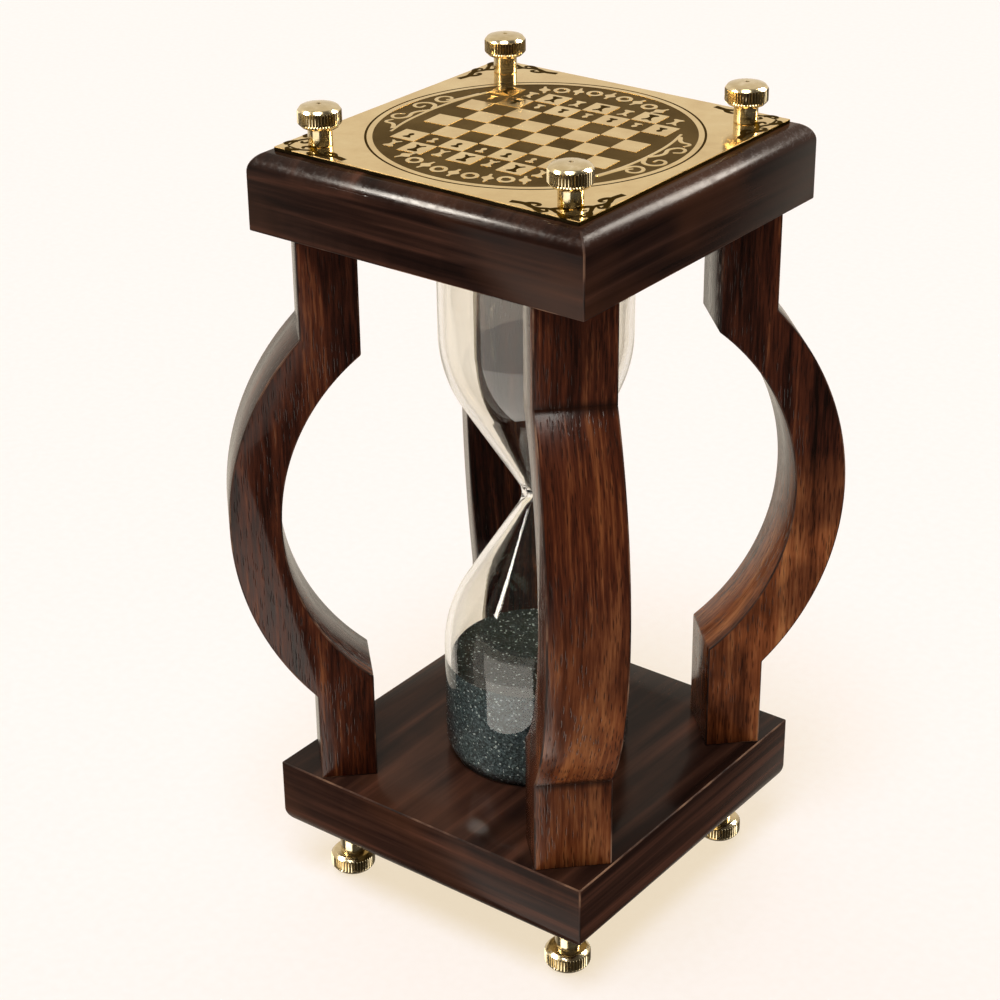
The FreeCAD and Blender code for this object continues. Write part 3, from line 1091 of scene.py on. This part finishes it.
outside = half_outline(0, neck_radius)
inside = half_outline(glass_wall, neck_bore_radius)
lower_outside = [(radius, -height) for radius, height in reversed(outside[1:])]
upper_inside = list(reversed(inside))
lower_inside = [(radius, -height) for radius, height in inside[1:]]
inner_end = glass_end - glass_wall
shell = (
    [(0, -glass_end)]
    + lower_outside
    + outside
    + [(filling_hole_radius, glass_end), (filling_hole_radius, inner_end)]
    + upper_inside
    + lower_inside
    + [(0, -inner_end)]
)
glass = spun("blown_glass", [(radius, mid_height + height) for radius, height in shell])
smooth(glass, 40)
dress(glass, "frame", "bulb_glass", clear_glass)
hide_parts("glass_bulbs")

# ---- Sand ----
# Fine black iron sand with bright grains, all run down into the lower bulb. It lies nearly level,
# a little hollowed and rippled, and presses against the glass.
sand_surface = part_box("sand")[1].z
wall_contact = 0.00006
crown_steps = 60
ripple_height = 0.00045
# ripples about 6 mm and 2.4 mm long
ripple_scale = 160
fine_ripple_scale = 420

# Slate-black sand: grain 0.35 mm, drawn a little coarser than life so that it shows, with one grain in
# thirty bright enough to glint. Its sides, against the glass, are painted paler than its loose top: painted
# light.
black_sand = new_material("black_iron_sand")
add = node_adder(black_sand)
place = (add("TexCoord"), "Object")
grains = add("TexVoronoi", {"Vector": place, "Scale": 2400})
grain_pick = add("SeparateColor", {"Color": (grains, "Color")})
loose_tone = add(
    "ValToRGB",
    {"Fac": (grain_pick, "Red")},
    ramp=[(0.0, "#0c1012"), (0.6, "#1a2124"), (0.95, "#344045"), (0.98, "#b4c0c2")],
)
painted_paler_side_tone = add(
    "ValToRGB",
    {"Fac": (grain_pick, "Red")},
    ramp=[(0.0, "#222b30"), (0.6, "#3c484e"), (0.95, "#5c6b71"), (0.98, "#c0cacc")],
)
# painted light: faces that stand up against the glass take the paler copy of the grain colours
surface = add("NewGeometry")
facing = add("SeparateXYZ", {"Vector": (surface, "Normal")})
painted_light_on_sides = add("MapRange", {"Value": (facing, "Z"), 1: 0.3, 2: 0.7, 3: 1.0, 4: 0.0})
grain_tone = add(
    "Mix", {0: (painted_light_on_sides, "Result"), 6: (loose_tone, "Color"), 7: (painted_paler_side_tone, "Color")}, data_type="RGBA"
)
glint = add("MapRange", {"Value": (grain_pick, "Red"), 1: 0.95, 2: 0.98, 3: 0.0, 4: 0.9})
grain_gloss = add("MapRange", {"Value": (grain_pick, "Green"), 1: 0.0, 2: 1.0, 3: 0.35, 4: 0.75})
grain_relief = add("Bump", {"Height": (grains, "Distance"), "Strength": 0.7, "Distance": 0.0002})
sand_shader = add("BsdfPrincipled", {
    "Base Color": (grain_tone, 2),
    "Metallic": (glint, "Result"),
    "Roughness": (grain_gloss, "Result"),
    "Specular IOR Level": 0.05,
    "Normal": (grain_relief, "Normal"),
})
add("OutputMaterial", {"Surface": (sand_shader, "BSDF")})

filled = half_outline(glass_wall - wall_contact, neck_bore_radius)
side = [(radius, mid_height - height) for radius, height in reversed(filled)]
side = [point for point in side if point[1] < sand_surface]
rim_radius = side[-1][0]
crown = [(rim_radius * (1 - i / crown_steps), sand_surface) for i in range(crown_steps + 1)]
sand = spun("black_sand_charge", [(0, side[0][1])] + side + crown)
# the top sinks a little below the rim, with ripples that fade out towards the glass
for point in sand.data.vertices:
    distance = math.hypot(point.co.x, point.co.y)
    if point.co.z > sand_surface - ripple_height:
        hollow = 1 - (distance / rim_radius) ** 2
        ripple = noise.noise(point.co * ripple_scale) + 0.5 * noise.noise(point.co * fine_ripple_scale)
        point.co.z += ripple_height * (ripple - 1.2) * min(1, 3 * hollow)
smooth(sand, 60)
dress(sand, "frame", "black_sand", black_sand)
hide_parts("sand")

# ---- Felt cushions ----
# Thin felt discs, glued into the seats of the plates, take up the slack under the ends of the glass.

# Wool felt: matt, fuzzy, dark brown, with fibres about 0.4 mm apart.
felt = mottled(
    "brown_wool_felt",
    {"Scale": 2500, "Detail": 5, "Distortion": 2.0},
    [(0.3, "#1f1512"), (0.7, "#3a2a22")],
    {"Roughness": 0.95, "Sheen Weight": 0.3, "Specular IOR Level": 0.1},
    (0.8, 0.0002),
)
felt_bevel = 0.0003
for end in ("upper", "lower"):
    low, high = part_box(end + "_glass_cushion")
    disc = rod(end + "_felt_disc", (high.x - low.x) / 2, low.z, high.z)
    soften(disc, felt_bevel, 3)
    smooth(disc, 50)
    dress(disc, "frame", "felt", felt)
    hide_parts(end + "_glass_cushion")

# ---- Filling plug ----
# A tapered rubber plug pressed into the filling hole, flush with the glass, its inner end dished.

# Moulded rubber: dark grey and matt, with a slight bloom.
rubber = mottled(
    "grey_moulded_rubber",
    {"Scale": 700, "Detail": 4},
    [(0.3, "#232120"), (0.7, "#38352f")],
    {"Roughness": 0.65},
    (0.3, 0.0001),
)
plug_low, plug_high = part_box("filling_stopper")
plug_radius = (plug_high.x - plug_low.x) / 2
# from the middle of the dish over the rounded lip and up the tapered side
plug = spun(
    "rubber_filling_plug",
    [
        (0, plug_low.z + 0.0006),
        (plug_radius - 0.0016, plug_low.z + 0.0004),
        (plug_radius - 0.0009, plug_low.z),
        (plug_radius - 0.0006, plug_low.z + 0.0002),
        (plug_radius, plug_high.z - glass_wall),
        (plug_radius, plug_high.z - 0.0002),
        (plug_radius - 0.0002, plug_high.z),
        (0, plug_high.z),
    ],
)
smooth(plug, 40)
dress(plug, "frame", "stopper_rubber", rubber)
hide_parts("filling_stopper")
